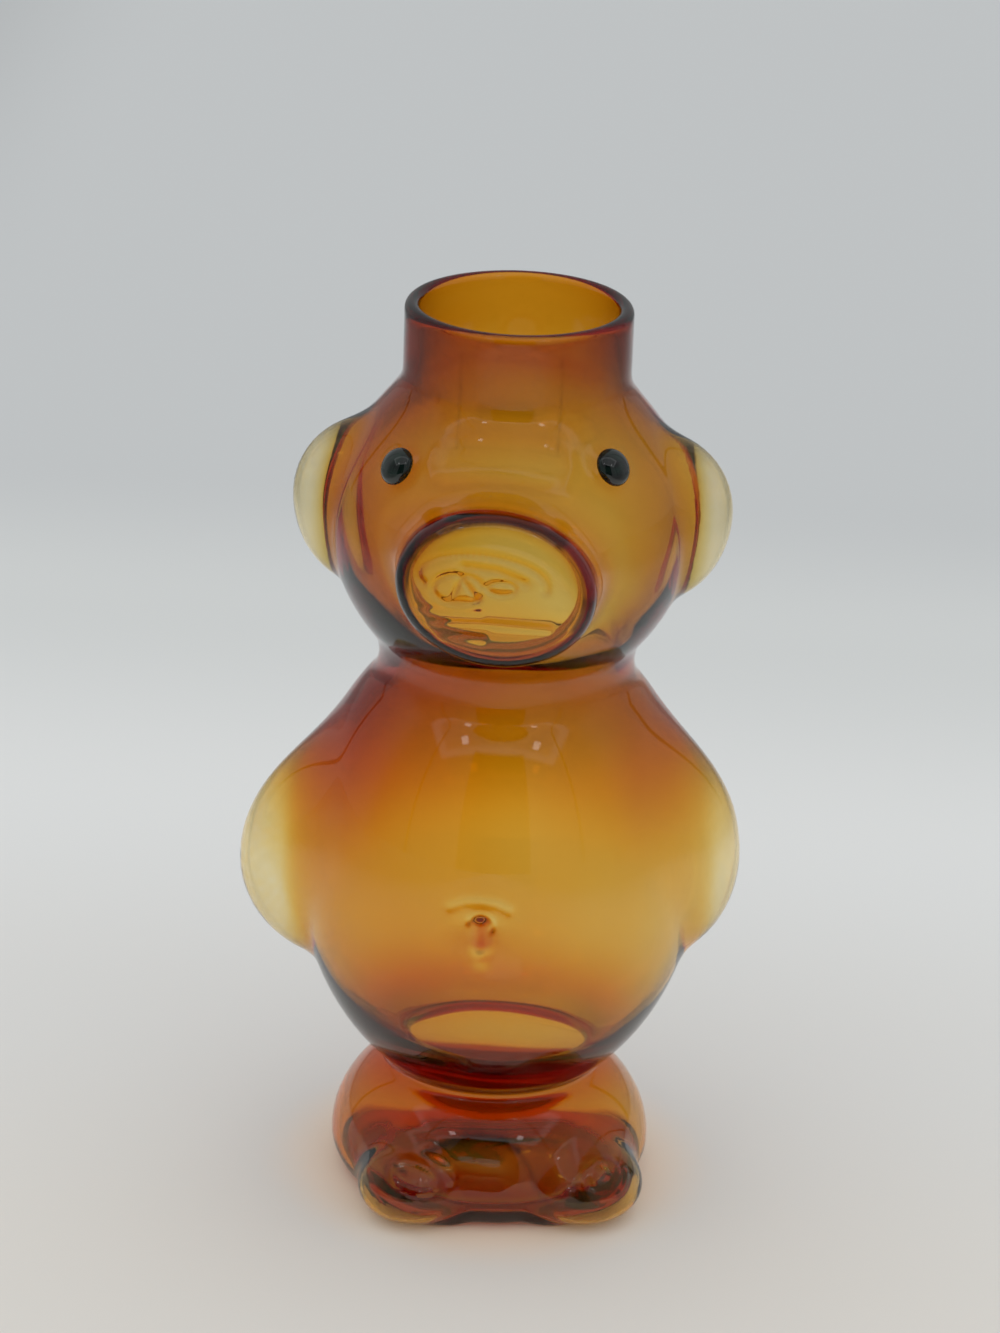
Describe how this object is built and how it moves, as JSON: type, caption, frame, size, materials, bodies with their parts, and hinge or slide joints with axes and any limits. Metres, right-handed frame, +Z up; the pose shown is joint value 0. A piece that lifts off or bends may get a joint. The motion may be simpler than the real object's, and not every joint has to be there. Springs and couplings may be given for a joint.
{
  "type": "bear-shaped drinking glass",
  "caption": "Open-necked drinking glass of blown amber glass in the shape of a standing bear, with hollow ears, arms, snout and feet.",
  "frame": {"origin": "on the vessel's own axis, at the flat floor that the glass stands on", "axes": "+Z up along the vessel's axis, the bear faces -Y, +X is to the right of someone who looks at its face"},
  "size_m": [0.1035, 0.0916, 0.19],
  "materials": {
    "amber_glass": "polished",
    "pale_amber_glass": "polished",
    "black_glass": "polished"
  },
  "bodies": {
    "root": {"base": "amber_glass", "torso": "amber_glass", "head": "amber_glass", "neck": "amber_glass", "snout": "pale_amber_glass", "ear_left": "pale_amber_glass", "ear_right": "pale_amber_glass", "arm_left": "pale_amber_glass", "arm_right": "pale_amber_glass", "foot_left": "pale_amber_glass", "foot_right": "pale_amber_glass", "belly_button": "amber_glass", "eye_left": "black_glass", "eye_right": "black_glass"}
  },
  "joints": []
}
